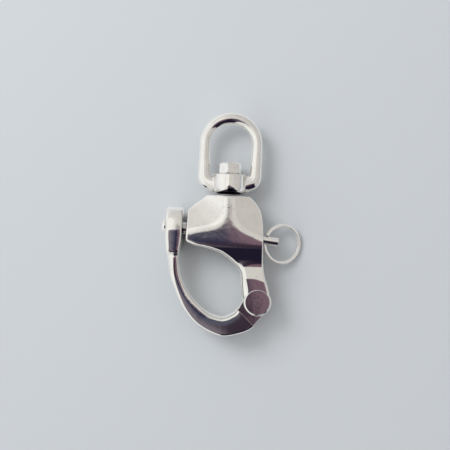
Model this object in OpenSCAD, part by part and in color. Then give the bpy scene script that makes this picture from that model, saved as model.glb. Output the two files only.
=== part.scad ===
// Swivel snap shackle, lying flat on one side of its body.
// The origin is where the swivel axis crosses the plunger axis, on the flat that it rests on.
// +Y runs along the swivel axis to the bail, +X towards the pull ring and +Z up from the table.

/* [Body] */
// Thickness of the body at its flat crest
body_t = 13; // [11:0.5:17]
// Swivel axis to the face that the plunger leaves by
body_left = 15.85; // [14:0.05:19.5]
// Swivel axis to the side that the plunger rod leaves by
body_right = 13.9; // [12:0.1:17]
// Height of the top land above the plunger axis
body_top = 15.1; // [12.6:0.1:18.2]
// Width of the top land
land_w = 14.6; // [12:0.2:18]
// Thickness across the ground cheeks of the hinge
neck_t = 9.8; // [9:0.2:11]
// Thickness of the waist between the crest and the cheeks
waist_t = 7.9; // [7.2:0.1:8.6]
// Plunger axis to the waist
waist_drop = 9.9; // [9:0.1:11]
// Plunger axis to the top of the ground cheeks
cheek_drop = 16.3; // [15:0.1:17.4]
// How steeply the shoulders fall away from the crest
shoulder_slope = 0.33; // [0.2:0.01:0.4]
// Rounding of the edge that faces the opening
inner_edge_r = 1.5; // [0.8:0.1:1.8]
// Rounding of the neck's edge that faces the opening
neck_edge_r = 2.5; // [1.8:0.1:3]
// Rounding of the edge on the outside
outer_edge_r = 0.9; // [0.5:0.1:1.4]
// Rounding of the rim of the face that the plunger leaves by
face_rim_r = 0.6; // [0.3:0.1:0.9]

/* [Hinge] */
// Swivel axis to the hinge pin
hinge_x = 12.7; // [10.6:0.1:15.4]
// Plunger axis to the hinge pin
hinge_drop = 25.5; // [21.2:0.1:30.6]
// Radius of the round end of the neck
hinge_r = 5.4; // [4.6:0.1:6.4]
// Radius of the low boss on each cheek
boss_r = 4.6; // [3.8:0.1:4.8]
// How far each hinge boss stands proud of the neck
hinge_boss = 0.15; // [0.1:0.05:0.6]
// Diameter of the hinge pin
hinge_pin_d = 4.2; // [3.4:0.1:5]
// Thickness of the jaw's tang between the cheeks
tang_t = 4.4; // [3.6:0.1:5.2]
// Depth of the fork slot above the hinge pin
slot_depth = 6; // [5.6:0.1:7.2]

/* [Jaw] */
// Swivel axis to the outside of the jaw
jaw_reach = 23.75; // [22.6:0.05:28]
// Width of the lug that the plunger locks
lug_w = 6.4; // [5.4:0.1:7.4]
// Plunger axis to the top of the lug
lug_top = 9.8; // [8.6:0.1:11.8]
// Thickness of the lug
lug_t = 12.8; // [11:0.2:15.4]
// Width of the arm where it is slimmest
arm_w = 3.7; // [3.1:0.1:4.4]
// Thickness of the arm where it is slimmest
arm_t = 8.2; // [6.8:0.2:9.6]
// Depth of the bow below the hinge pin
bow_below = 13.6; // [11.6:0.1:16.4]
// Width of the bow at its lowest point
bow_w = 6.9; // [5.8:0.1:8.2]
// Hinge pin to the shoulder where the bow thins to the tang
shoulder_off = 7.5; // [6.8:0.05:8.4]

/* [Plunger] */
// Tilt of the plunger axis from square to the swivel axis
plunger_tilt = 6; // [3:0.5:8]
// Diameter of the plunger
plunger_d = 4.7; // [3.9:0.1:5.6]
// Diameter of the rod behind the plunger
rod_d = 3.4; // [3.2:0.1:3.6]
// How far the plunger stands out of the lug when locked
tip_out = 1.8; // [1.4:0.1:2.2]
// How far the rod stands out of the body when locked
rod_out = 6.3; // [5.2:0.1:7.5]
// Travel of the plunger
plunger_travel = 9.8; // [9.6:0.1:10.2]

/* [Spring] */
// Diameter of the spring wire
wire_d = 0.5; // [0.4:0.02:0.5]
// Number of turns
spring_turns = 8; // [6:0.5:9]

/* [Ring] */
// Outer diameter of the split ring
ring_d = 15.8; // [13:0.2:19]
// Width of the ring wire
ring_wire_w = 1.1; // [0.9:0.05:1.2]
// Thickness of the ring wire, of which there are two layers
ring_wire_t = 0.7; // [0.6:0.02:0.76]
// Diameter of the hole through the rod
ring_hole_d = 2.4; // [2.3:0.05:2.6]

/* [Swivel] */
// Diameter of the swivel bolt
bolt_d = 6; // [5:0.2:7.2]
// Width across the flats of the bolt head
head_af = 8.1; // [7.4:0.1:9.4]
// Height of the bolt head
head_h = 4.5; // [3.6:0.1:5.4]
// Plunger axis to the end of the bolt
bolt_end = 5; // [4.2:0.2:6]
// Height of the turned seat under the collar
seat_h = 0.4; // [0.3:0.1:1]
// Diameter of the turned seat under the collar
seat_d = 8.6; // [8:0.2:9.6]
// Diameter of the cross pin that locks the bolt
lock_pin_d = 1.2; // [1:0.1:1.4]
// Plunger axis to the cross pin
lock_pin_y = 10.8; // [9.4:0.1:12]

/* [Bail] */
// Outer diameter of the collar
collar_d = 12.8; // [12:0.2:14]
// Length of the collar along the swivel axis
collar_h = 7.8; // [7.2:0.1:9]
// How far the foot of the collar is drawn in
foot_in = 2.4; // [1.6:0.1:2.6]
// Height of the rounding that draws it in
foot_rise = 3.1; // [2:0.1:4]
// Outer width of the bail
bail_w = 24.4; // [21:0.2:29]
// Width of the bail's bar along its legs
bail_bar = 4.1; // [3.5:0.1:4.9]
// Width of the bail's bar at the top of its bend
bend_bar = 4.6; // [3.9:0.1:5.5]
// Height of the bail above its collar
bail_rise = 24; // [21:0.5:29]

/* [Fits] */
// Clearance on radius where a round piece turns or slides
run_gap = 0.07; // [0.05:0.01:0.1]
// Clearance on radius where a round piece is held fast
held_gap = 0.02; // [0.01:0.005:0.03]
// Clearance beside the tang and at the ends of the collar
side_gap = 0.2; // [0.15:0.05:0.3]

/* [Hidden] */
$fn = 48;
// the middle plane of the shackle, which the plunger and swivel axes lie in
mid = body_t / 2;
// amount by which cuts run past the faces that they open
over = 1;
big = 200;

// stretches along the plunger axis, from the point where it crosses the swivel axis
lug_face = jaw_reach - lug_w;
plunger_tip = -(jaw_reach / cos(plunger_tilt) + tip_out);
rod_end = body_right + rod_out;
ring_hole_s = body_right + ring_hole_d / 2;
spring_end = body_right - 3.7;
// the spring closes to its solid length, and a little to spare, when the plunger is pulled
spring_len = plunger_travel + (spring_turns + 1) * wire_d + 1.1;
spring_start = spring_end - spring_len;
tip_dome = 1.1;

// hinge
hinge = [hinge_x, -hinge_drop];
boss_half = neck_t / 2 + hinge_boss;
slot_half = tang_t / 2 + side_gap;
tang_r = hinge_r - 0.05;

// swivel and bail
seat_y = body_top + seat_h;
collar_y = seat_y + side_gap;
head_y = collar_y + collar_h + side_gap;
bail_r = bail_w / 2;
bail_top = collar_y + collar_h + bail_rise;
bend_y = bail_top - bail_r;

// ring
ring_mean = (ring_d - ring_wire_w) / 2;
ring_pitch = ring_wire_t + 0.04;
ring_high = ring_pitch + ring_wire_t;
ring_rise = 0.1;
// how far the ring leans aside in its hole
ring_lean = 4;
ring_tilt = asin((mid - ring_high / 2 - ring_rise) / (ring_mean + ring_d / 2));

// ---- curves and lofts ----

// a place in the plane of the shackle, from lengths along and square to the plunger axis
function along(s, n) = [s * cos(plunger_tilt) + n * sin(plunger_tilt),
                        n * cos(plunger_tilt) - s * sin(plunger_tilt)];

function blend_min(a, b, r) =
    let (k = max(r - abs(a - b), 0) / r)
    min(a, b) - k * k * r / 4;

function blend_max(a, b, r) = -blend_min(-a, -b, r);

function mix(a, b, f) = a + (b - a) * f;

// the row at t of a smooth curve through all the rows of a table
function curve(rows, t) =
    let (last = len(rows) - 1,
         i = min(floor(t), last - 1),
         f = t - i,
         p0 = i > 0 ? rows[i - 1] : 2 * rows[0] - rows[1],
         p1 = rows[i],
         p2 = rows[i + 1],
         p3 = i + 2 > last ? 2 * rows[last] - rows[last - 1] : rows[i + 2])
    0.5 * (2 * p1 + (p2 - p0) * f + (2 * p0 - 5 * p1 + 4 * p2 - p3) * f * f
           + (3 * p1 - p0 - 3 * p2 + p3) * f * f * f);

// every row of a smooth curve, with so many steps from one row of the table to the next
function curve_rows(rows, steps) =
    [for (i = [0 : (len(rows) - 1) * steps]) curve(rows, i / steps)];

// distances across a section from edge a, closest together in the roundings, each with the
// depth of the rounding there; the first edge may be rounded deeper or shallower than wide
function across(width, ra, depth, rb, steps, spans) = concat(
    [for (k = [0 : steps]) [ra * (1 - cos(90 * k / steps)), depth * (1 - sin(90 * k / steps))]],
    [for (k = [1 : spans - 1]) [mix(ra, width - rb, k / spans), 0]],
    [for (k = [steps : -1 : 0])
        [width - rb * (1 - cos(90 * k / steps)), rb * (1 - sin(90 * k / steps))]]);

// the ring of points of a section from a to b, of the half thickness that each place has
function slab_ring(a, b, halves, rounds) =
    let (step = (b - a) / norm(b - a),
         top = [for (k = [0 : len(rounds) - 1])
            let (p = a + step * rounds[k][0]) [p.x, p.y, halves[k] - rounds[k][1]]])
    concat([for (p = top) [p.x, p.y, mid + p.z]],
           [for (k = [len(top) - 1 : -1 : 0]) [top[k].x, top[k].y, mid - top[k].z]]);

// the ring of points of an oval section from a to b
function oval_ring(a, b, half, sides) =
    [for (k = [0 : sides - 1])
        let (p = mix(a, b, (1 - cos(360 * k / sides)) / 2))
        [p.x, p.y, mid + half * sin(360 * k / sides)]];

module loft(rings) {
    n = len(rings[0]);
    last = len(rings) - 1;
    points = [for (ring = rings) each ring];
    sides = [for (i = [0 : last - 1], k = [0 : n - 1])
        let (a = i * n + k,
             b = i * n + (k + 1) % n)
        each [[a, a + n, b + n], [a, b + n, b]]];
    first_cap = [[for (k = [0 : n - 1]) k]];
    last_cap = [[for (k = [n - 1 : -1 : 0]) last * n + k]];
    polyhedron(points, concat(sides, first_cap, last_cap), convexity = 8);
}

// a bore or rod on the plunger axis
module on_plunger_axis(s) {
    place = along(s, 0);
    translate([place.x, place.y, mid])
    rotate([0, 0, -plunger_tilt])
    rotate([0, 90, 0])
    children();
}

// a bore or rod on the swivel axis
module on_swivel_axis(y) {
    translate([0, y, mid])
    rotate([-90, 0, 0])
    children();
}

// ---- body ----

// how far a place lies out on a shoulder, past the crest along both axes
function past_crest(p) =
    let (left = blend_min(p.y - 3.9 - 0.23 * p.x, -p.x - 0.9, 6),
         right = blend_min(p.y - 4.5 + 0.45 * p.x, p.x - 1.3, 6))
    max(left, right);

// how far the neck has come down from the crest towards the waist
function neck_fall(p) =
    let (start = -0.16 * hinge_drop,
         slope = (body_t - waist_t) / 2 / (start + waist_drop))
    blend_max((start - p.y) * slope, 0, 0.9);

// the cheek rises out of the waist, a little crowned, to where it is ground flat
function cheek_half_at(p) =
    let (slope = (neck_t - waist_t) / 2 / (cheek_drop - waist_drop),
         middle = hinge_x - 0.3 * (p.y + hinge_drop),
         rise = neck_t / 2 - (p.y + cheek_drop) * slope - 0.008 * pow(p.x - middle, 2))
    min(rise, neck_t / 2);

// the crest is cast this much thicker and milled flat
milled = 0.3;

function body_half_at(p) =
    let (slopes = blend_max(past_crest(p) * shoulder_slope, 0, 0.5) + neck_fall(p))
    blend_max(body_t / 2 + milled - slopes, cheek_half_at(p), 0.9);

// pairs of places on the edge towards the opening and on the outer edge, with the width of the
// rounding towards the opening, which is longer where a section runs aslant to that edge
function body_rows() =
    let (neck = hinge_x - hinge_r,
         side = hinge_x + hinge_r,
         inner = inner_edge_r,
         wide = neck_edge_r)
    [[-body_left - 0.1, -0.13 * hinge_drop, -body_left + 0.2, 0.58 * body_top, inner],
     [-0.782 * body_left, -0.18 * hinge_drop, -0.826 * body_left, 0.744 * body_top, inner],
     [-0.555 * body_left, -0.206 * hinge_drop, -0.656 * body_left, 0.887 * body_top, inner],
     [-0.34 * body_left, -0.239 * hinge_drop, -land_w / 2 - 0.2, 1.01 * body_top, inner],
     [-0.12 * body_left, -0.29 * hinge_drop, -0.17 * land_w, 1.03 * body_top, inner],
     [0.164 * neck, -0.37 * hinge_drop, 0.17 * land_w, 1.03 * body_top, inner],
     [0.466 * neck, -0.44 * hinge_drop, land_w / 2 - 0.2, 1.01 * body_top, inner],
     [0.66 * neck, -0.505 * hinge_drop, 0.75 * body_right, 0.85 * body_top, wide],
     [0.785 * neck, -0.585 * hinge_drop, 0.925 * body_right, 0.56 * body_top, 1.3 * wide],
     [0.835 * neck, -0.67 * hinge_drop, body_right - 0.1, 0.09 * body_top, 1.4 * wide],
     [0.855 * neck, -0.755 * hinge_drop, mix(body_right, side, 0.02), -0.27 * hinge_drop,
      1.4 * wide],
     [0.89 * neck, -0.845 * hinge_drop, mix(body_right, side, 0.23), -0.56 * hinge_drop,
      1.3 * wide],
     [0.93 * neck, -0.935 * hinge_drop, mix(body_right, side, 0.65), -0.787 * hinge_drop,
      1.1 * wide],
     [neck + 0.12, -hinge_drop, side - 0.12, -hinge_drop, wide]];

// the section across the body between the two places of a row, drawn in by an inset
function body_ring(row, inset) =
    let (step = [row[2] - row[0], row[3] - row[1]] / norm([row[2] - row[0], row[3] - row[1]]),
         a = [row[0], row[1]] + step * inset,
         b = [row[2], row[3]] - step * inset,
         rounds = across(norm(b - a), row[4], min(row[4], neck_edge_r), outer_edge_r, 4, 11),
         halves = [for (r = rounds) body_half_at(a + step * r[0]) - inset])
    slab_ring(a, b, halves, rounds);

module body_casting() {
    rows = curve_rows(body_rows(), 4);
    rim = [for (turn = [0, 45, 90])
        body_ring(curve(body_rows(), face_rim_r * (1 - cos(turn)) / 3),
                  face_rim_r * (1 - sin(turn)))];
    rings = concat(rim, [for (i = [1 : len(rows) - 1]) body_ring(rows[i], 0)]);
    intersection() {
        loft([for (i = [len(rings) - 1 : -1 : 0]) rings[i]]);
        translate([-big / 2, body_top - big, 0])
        cube([big, big, body_t]);
    }
}

// half section of a disc with rounded rims
module disc_section(r, half, rim) {
    translate([0, -half])
    square([r - rim, 2 * half]);
    translate([0, rim - half])
    square([r, 2 * (half - rim)]);
    for (side = [-1, 1])
        translate([r - rim, side * (half - rim)])
        circle(r = rim);
}

// the round end of the neck, a hair below the ground cheeks, with a low boss on each side
module neck_end() {
    translate([hinge.x, hinge.y, mid])
    rotate_extrude()
    union() {
        disc_section(hinge_r, neck_t / 2 - 0.02, outer_edge_r);
        disc_section(boss_r, boss_half, 0.12);
    }
}

module fork_slot() {
    translate([-over, -big - hinge_drop + slot_depth, mid - slot_half])
    cube([big, big, 2 * slot_half]);
}

module plunger_bores() {
    on_plunger_axis(-body_left - 3 * over)
    cylinder(d = plunger_d + 2 * run_gap, h = body_left + 3 * over + spring_end);
    on_plunger_axis(spring_end - over)
    cylinder(d = rod_d + 2 * run_gap, h = big / 4);
}

module body() {
    color([0.78, 0.76, 0.73])
    difference() {
        union() {
            body_casting();
            neck_end();
            on_swivel_axis(body_top - over)
            cylinder(d = seat_d, h = seat_h + over);
        }
        fork_slot();
        plunger_bores();
        translate([hinge.x, hinge.y, -over])
        cylinder(d = hinge_pin_d + 2 * held_gap, h = body_t + 2 * over);
        on_swivel_axis(bolt_end - 0.4)
        cylinder(d = bolt_d + 2 * held_gap, h = seat_y);
        translate([0, lock_pin_y, -over])
        cylinder(d = lock_pin_d + 2 * held_gap, h = body_t + 2 * over);
    }
}

module hinge_pin() {
    flush = 0.05;
    color([0.7, 0.68, 0.66])
    translate([hinge.x, hinge.y, mid - boss_half + flush])
    cylinder(d = hinge_pin_d, h = 2 * (boss_half - flush));
}

// ---- jaw ----

// a place on the jaw, from shares of the reach to the left and of the heights above and
// below the hinge
function bow_at(fx, fy) =
    [fx < 0 ? fx * jaw_reach : fx * hinge_x,
     fy > 1 ? -hinge_drop - (fy - 1) * bow_below : -fy * hinge_drop];

// the place on the outer edge that lies off the inner edge by a width, towards a heading
function off(p, width, heading) = p + width * [cos(heading), sin(heading)];

// the shoulder lies square to this heading from the hinge
shoulder_heading = 226.3;
shoulder_foot = off(hinge, shoulder_off, shoulder_heading);
shoulder_in = off(shoulder_foot, 3.3, shoulder_heading - 90);
shoulder_out = off(shoulder_foot, 6.05, shoulder_heading + 90);

// the lug is thickest a little above the plunger axis, is domed above that and falls away
// slightly below it
function lug_half_at(y) =
    let (thickest = 0.27 * lug_top,
         u = max((y - thickest) / (lug_top - thickest), 0))
    lug_t / 2 * sqrt(1 - 0.9 * pow(u, 2.6)) - 0.012 * max(thickest - y, 0);

// rows of the jaw: inner edge, outer edge, half thickness, and the share of the width that the
// rounding of the outer edge takes
function lug_row(y, inset) =
    [-lug_face - inset, y, -jaw_reach + inset, y, lug_half_at(y), 0.17];

function jaw_row(a, b, half, outer) = [a.x, a.y, b.x, b.y, half, outer];

// a row where the lug runs out into the arm, at a share of the drop to the hinge
function run_out_row(fall, inner, outer, half, share) =
    [-lug_face - inner, -fall * hinge_drop, -outer * jaw_reach, -fall * hinge_drop, half, share];

function jaw_rows() =
    let (knee = bow_at(-0.785, 0.403),
         slim = bow_at(-0.755, 0.61),
         lower = bow_at(-0.658, 0.825),
         bend = bow_at(-0.49, 1.06),
         deep = bow_at(-0.27, 1.37),
         low = [-0.03 * jaw_reach, -hinge_drop - bow_below + bow_w],
         rise = [0.3 * hinge_x, -hinge_drop - 0.355 * bow_below])
    [lug_row(lug_top - 1.2, 0.1),
     lug_row(lug_top - 2.9, 0),
     lug_row(0.5 * lug_top, 0),
     lug_row(0.15 * lug_top, 0),
     run_out_row(0.055, 0, 1, lug_half_at(-0.055 * hinge_drop), 0.17),
     run_out_row(0.2, 0.5, 0.985, lug_half_at(-0.2 * hinge_drop), 0.19),
     run_out_row(0.285, 0.9, 0.975, mix(lug_t, arm_t, 0.1) / 2, 0.21),
     run_out_row(0.307, 1, 0.972, mix(lug_t, arm_t, 0.4) / 2, 0.4),
     run_out_row(0.33, 1.1, 0.968, mix(lug_t, arm_t, 0.82) / 2, 0.62),
     jaw_row(knee, off(knee, arm_w + 0.2, 183), 0.54 * arm_t, 0.66),
     jaw_row(slim, off(slim, arm_w - 0.1, 194), 0.5 * arm_t, 0.66),
     jaw_row(lower, off(lower, arm_w, 206), 0.5 * arm_t, 0.5),
     jaw_row(bend, off(bend, mix(arm_w, bow_w, 0.33), 219), 0.52 * arm_t, 0.3),
     jaw_row(deep, off(deep, mix(arm_w, bow_w, 0.63), 238), mix(arm_t, neck_t, 0.4) / 2, 0.18),
     jaw_row(low, off(low, bow_w, 270), mix(arm_t, neck_t, 0.7) / 2, 0.13),
     jaw_row(rise, off(rise, bow_w + 1.2, 298), mix(arm_t, neck_t, 0.9) / 2, 0.12),
     jaw_row(shoulder_in, shoulder_out, neck_t / 2, 0.12)];

module jaw_casting() {
    head = [lug_row(lug_top, 0.75), lug_row(lug_top - 0.25, 0.4), lug_row(lug_top - 0.65, 0.2)];
    rows = concat(head, curve_rows(jaw_rows(), 4));
    crown = 0.12;
    rings = [for (row = rows)
        let (a = [row[0], row[1]],
             b = [row[2], row[3]],
             width = norm(b - a),
             ra = min(0.22 * width, row[4] * 0.5, inner_edge_r),
             rb = min(row[5] * width, row[4] * 0.7),
             rounds = across(width, ra, ra, rb, 4, 6),
             halves = [for (r = rounds) row[4] - crown * pow(2 * r[0] / width - 1, 2)])
        slab_ring(a, b, halves, rounds)];
    loft(rings);
}

// the flat tang that turns between the cheeks
module tang() {
    root = off(shoulder_foot, 1.5, shoulder_heading);
    translate([0, 0, mid - tang_t / 2])
    linear_extrude(height = tang_t)
    union() {
        translate(hinge)
        circle(r = tang_r);
        polygon([off(hinge, tang_r, shoulder_heading - 72),
                 off(hinge, tang_r + 0.35, shoulder_heading - 44),
                 off(shoulder_in, 0.3, shoulder_heading + 90),
                 off(root, 3.1, shoulder_heading - 90),
                 off(root, 4.6, shoulder_heading + 90),
                 off(shoulder_out, 0.3, shoulder_heading - 90),
                 off(hinge, tang_r + 0.45, shoulder_heading + 70),
                 off(hinge, tang_r, shoulder_heading + 93)]);
    }
}

module jaw() {
    color([0.74, 0.72, 0.7])
    difference() {
        union() {
            jaw_casting();
            tang();
        }
        translate([hinge.x, hinge.y, -over])
        cylinder(d = hinge_pin_d + 2 * run_gap, h = body_t + 2 * over);
        on_plunger_axis(plunger_tip - over)
        cylinder(d = plunger_d + 4 * run_gap, h = lug_w + 8);
    }
}

// ---- plunger, spring and ring ----

module plunger() {
    r = plunger_d / 2;
    front = spring_start - plunger_tip;
    full = rod_end - plunger_tip;
    color([0.8, 0.78, 0.75])
    difference() {
        on_plunger_axis(plunger_tip)
        rotate_extrude()
        union() {
            translate([0, tip_dome])
            square([r, front - tip_dome]);
            square([r - tip_dome, tip_dome + over]);
            translate([r - tip_dome, tip_dome])
            circle(r = tip_dome);
            translate([0, front - over])
            square([rod_d / 2, full - front + over - 0.3]);
            translate([0, full - over])
            square([rod_d / 2 - 0.3, over]);
        }
        place = along(ring_hole_s, 0);
        translate([place.x, place.y, mid])
        rotate([90, 0, -plunger_tilt])
        cylinder(d = ring_hole_d, h = plunger_d + over, center = true);
    }
}

module plunger_spring() {
    sides = 6;
    per_turn = 14;
    mean = (plunger_d + 2 * run_gap + rod_d) / 4;
    rise = spring_len - wire_d - 2 * held_gap;
    steps = spring_turns * per_turn;
    rings = [for (i = [0 : steps])
        let (turn = 360 * i / per_turn)
        [for (k = [0 : sides - 1])
            let (r = mean + wire_d / 2 * cos(360 * k / sides),
                 s = -wire_d / 2 * sin(360 * k / sides))
            [r * cos(turn), r * sin(turn), rise * i / steps + s]]];
    color([0.6, 0.6, 0.62])
    on_plunger_axis(spring_start + wire_d / 2 + held_gap)
    loft(rings);
}

// level of the ring wire in its turn: it lies flat, steps up past the split and lies flat again
function ring_level(turn) = ring_pitch * (min(max((turn - 330) / 60, 0), 1) - 0.5);

module split_ring() {
    step = 12;
    split_at = 195;
    cut = 0.22;
    w = ring_wire_w / 2;
    t = ring_wire_t / 2;
    section = [[w, cut - t], [w - cut, -t], [cut - w, -t], [-w, cut - t],
               [-w, t - cut], [cut - w, t], [w - cut, t], [w, t - cut]];
    rings = [for (turn = [30 : step : 690])
        [for (p = section)
            [(ring_mean + p.x) * cos(turn + split_at), (ring_mean + p.x) * sin(turn + split_at),
             ring_level(turn) + p.y]]];
    place = along(ring_hole_s, 0);
    color([0.72, 0.72, 0.72])
    translate([place.x, place.y, mid])
    rotate([0, 0, -plunger_tilt])
    rotate([0, ring_tilt, 0])
    rotate([0, 0, -ring_lean])
    translate([ring_mean, 0, 0])
    loft(rings);
}

// ---- swivel and bail ----

module swivel_bolt() {
    head_turn = 18;
    corner = head_af / cos(30);
    color([0.76, 0.74, 0.71])
    difference() {
        union() {
            on_swivel_axis(bolt_end)
            cylinder(d = bolt_d, h = head_y - bolt_end + over);
            intersection() {
                on_swivel_axis(head_y)
                rotate([0, 0, head_turn])
                cylinder(d = corner, h = head_h, $fn = 6);
                on_swivel_axis(head_y)
                rotate_extrude()
                polygon([[0, 0], [corner / 2 - 0.3, 0], [corner / 2 + 0.1, 0.4],
                         [corner / 2 + 0.1, head_h - 1.56], [0.27 * head_af, head_h],
                         [0, head_h]]);
            }
        }
        translate([0, lock_pin_y, 0])
        cylinder(d = lock_pin_d + 2 * held_gap, h = body_t);
    }
}

module swivel_lock_pin() {
    flush = 0.06;
    color([0.5, 0.49, 0.48])
    translate([0, lock_pin_y, flush])
    cylinder(d = lock_pin_d, h = body_t - 2 * flush);
}

// inner edge, outer edge and half thickness of one side of the bail, from collar to bend
function bail_rows() =
    let (inner = bail_r - bail_bar,
         foot = collar_y,
         head = collar_y + collar_h)
    [[0.5 * inner, head - 0.8, 0.5 * inner, foot + 0.5, 0.62 * bail_bar],
     [inner - 2.1, head - 0.7, inner - 1, foot + 1, 0.58 * bail_bar],
     [inner - 0.9, head - 0.3, bail_r - 1.6, foot + 2.9, 0.54 * bail_bar],
     [inner - 0.55, head + 0.6, bail_r + 0.1, foot + 5.8, 0.52 * bail_bar],
     [inner - 0.4, head + 2.8, bail_r + 0.15, foot + 9, 0.5 * bail_bar],
     [inner - 0.1, mix(head, bend_y, 0.6), bail_r + 0.05, mix(head, bend_y, 0.62),
      0.5 * bail_bar],
     [inner, bend_y, bail_r, bend_y, 0.5 * bail_bar]];

module bail_bar_loft() {
    inner = bail_r - bail_bar;
    leg = curve_rows(bail_rows(), 3);
    bend = [for (a = [10 : 10 : 170])
        [inner * cos(a), bend_y + (bail_r - bend_bar) * sin(a),
         bail_r * cos(a), bend_y + bail_r * sin(a), 0.5 * bail_bar]];
    back = [for (i = [len(leg) - 1 : -1 : 0])
        [-leg[i][0], leg[i][1], -leg[i][2], leg[i][3], leg[i][4]]];
    loft([for (row = concat(leg, bend, back))
        oval_ring([row[0], row[1]], [row[2], row[3]], row[4], 16)]);
}

// half section of the collar, with its foot drawn in by a rounding
function collar_profile() =
    let (r = collar_d / 2,
         foot = r - foot_in)
    concat([[0, 0]],
           [for (k = [0 : 6]) [foot + foot_in * sin(15 * k), foot_rise * (1 - cos(15 * k))]],
           [[r, collar_h - 0.5], [r - 0.5, collar_h], [0, collar_h]]);

module bail() {
    color([0.82, 0.81, 0.78])
    difference() {
        union() {
            bail_bar_loft();
            on_swivel_axis(collar_y)
            rotate_extrude()
            polygon(collar_profile());
        }
        on_swivel_axis(collar_y - over)
        cylinder(d = bolt_d + 2 * run_gap, h = collar_h + 2 * over);
    }
}

body();
hinge_pin();
jaw();
plunger();
plunger_spring();
split_ring();
swivel_bolt();
swivel_lock_pin();
bail();
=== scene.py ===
import math

import bmesh
import bpy
import numpy as np
from mathutils import Matrix, Vector


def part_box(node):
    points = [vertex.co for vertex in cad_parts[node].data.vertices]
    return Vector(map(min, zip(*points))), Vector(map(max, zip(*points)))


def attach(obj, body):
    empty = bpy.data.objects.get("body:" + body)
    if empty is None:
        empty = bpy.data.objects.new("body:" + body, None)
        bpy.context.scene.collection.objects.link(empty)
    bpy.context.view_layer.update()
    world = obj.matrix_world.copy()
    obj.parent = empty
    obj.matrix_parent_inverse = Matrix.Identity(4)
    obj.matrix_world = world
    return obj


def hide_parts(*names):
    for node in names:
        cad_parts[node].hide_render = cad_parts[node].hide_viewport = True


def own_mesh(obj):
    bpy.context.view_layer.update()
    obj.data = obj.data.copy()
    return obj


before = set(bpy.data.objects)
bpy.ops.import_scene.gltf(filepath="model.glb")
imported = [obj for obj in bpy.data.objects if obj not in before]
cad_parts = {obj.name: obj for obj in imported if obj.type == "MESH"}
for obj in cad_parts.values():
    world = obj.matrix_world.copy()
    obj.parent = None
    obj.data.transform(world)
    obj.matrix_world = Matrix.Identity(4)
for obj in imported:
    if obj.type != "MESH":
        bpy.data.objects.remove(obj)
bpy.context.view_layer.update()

MM = 0.001
WELD = 1e-7  # points nearer than this, in metres, become one
SHARP = 38  # edges that turn more than this, in degrees, stay crisp


# ---------------------------------------------------------------- sizes, in mm

def top_of(node):
    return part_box(node)[1] / MM


def foot_of(node):
    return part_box(node)[0] / MM


# as in the CAD, apart from a few roundings, bevels and the height of the hinge's boss
BODY_T = top_of("body").z - foot_of("body").z
MID = BODY_T / 2
BODY_LEFT, BODY_RIGHT, BODY_TOP = 15.85, 13.9, 15.1
LAND_W, NECK_T, SLOPE = 14.6, 9.8, 0.33
WAIST_T, WAIST_DROP, CHEEK_DROP = 7.9, 9.9, 16.3
INNER_R, NECK_R, OUTER_R, RIM_R = 1.5, 2.5, 0.9, 0.6
HINGE_X, HINGE_DROP, HINGE_R, BOSS_R, HINGE_BOSS, PIN_D = 12.7, 25.5, 5.4, 4.6, 0.1, 4.2
HINGE = np.array([HINGE_X, -HINGE_DROP])
TANG_T, SLOT_DEPTH = 4.4, 6.0
JAW_REACH, LUG_W, LUG_TOP, LUG_T = 23.75, 6.4, 9.8, 12.8
ARM_W, ARM_T, BOW_BELOW, BOW_W, SHOULDER_OFF = 3.7, 8.2, 13.6, 6.9, 7.5
TILT, PLUNGER_D, ROD_D, TIP_OUT, ROD_OUT = 6.0, 4.7, 3.4, 1.8, 6.3
WIRE_D, SPRING_LEN, TURNS, PLUNGER_TRAVEL = 0.5, 15.4, 8, 9.8
RING_D, RING_W, RING_T, RING_HOLE, RING_TURN = 15.8, 1.1, 0.7, 2.4, 4
BOLT_D, HEAD_AF, HEAD_H, BOLT_END = 6.0, 8.1, 4.5, 5.0
SEAT_H, SEAT_D, LOCK_D, LOCK_Y = 0.4, 8.6, 1.2, 10.8
COLLAR_D, COLLAR_H, BAIL_W, BAIL_BAR, BEND_BAR, BAIL_RISE = 12.8, 7.8, 24.4, 4.1, 4.6, 24.0
FOOT_IN, FOOT_UP = 2.4, 3.1
# gaps of a turning fit, a held fit and a side face
RUN, HELD, SIDE = 0.07, 0.02, 0.2
SEAT_Y = BODY_TOP + SEAT_H
COLLAR_Y = SEAT_Y + SIDE
HEAD_Y = COLLAR_Y + COLLAR_H + SIDE
BAIL_R = BAIL_W / 2
BAIL_TOP = COLLAR_Y + COLLAR_H + BAIL_RISE
BEND_Y = BAIL_TOP - BAIL_R
LUG_FACE = JAW_REACH - LUG_W
TIP_S = -(JAW_REACH / math.cos(math.radians(TILT)) + TIP_OUT)
ROD_END = BODY_RIGHT + ROD_OUT
HOLE_S = BODY_RIGHT + RING_HOLE / 2
SPRING_END = BODY_RIGHT - 3.7
SPRING_START = SPRING_END - SPRING_LEN
BOSS_HALF, BOSS_SLOPE = NECK_T / 2 + HINGE_BOSS, 0.9
SLOT_HALF = TANG_T / 2 + SIDE


def sind(a):
    return math.sin(math.radians(a))


def cosd(a):
    return math.cos(math.radians(a))


def along(s, n):
    """A place in the middle plane, from lengths along and square to the plunger axis."""
    return np.array([s * cosd(TILT) + n * sind(TILT), n * cosd(TILT) - s * sind(TILT)])


def soft_min(a, b, r):
    k = np.maximum(r - np.abs(a - b), 0) / r
    return np.minimum(a, b) - k * k * r / 4


def soft_max(a, b, r):
    return -soft_min(-a, -b, r)


def mix(a, b, f):
    return a + (b - a) * f


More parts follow.
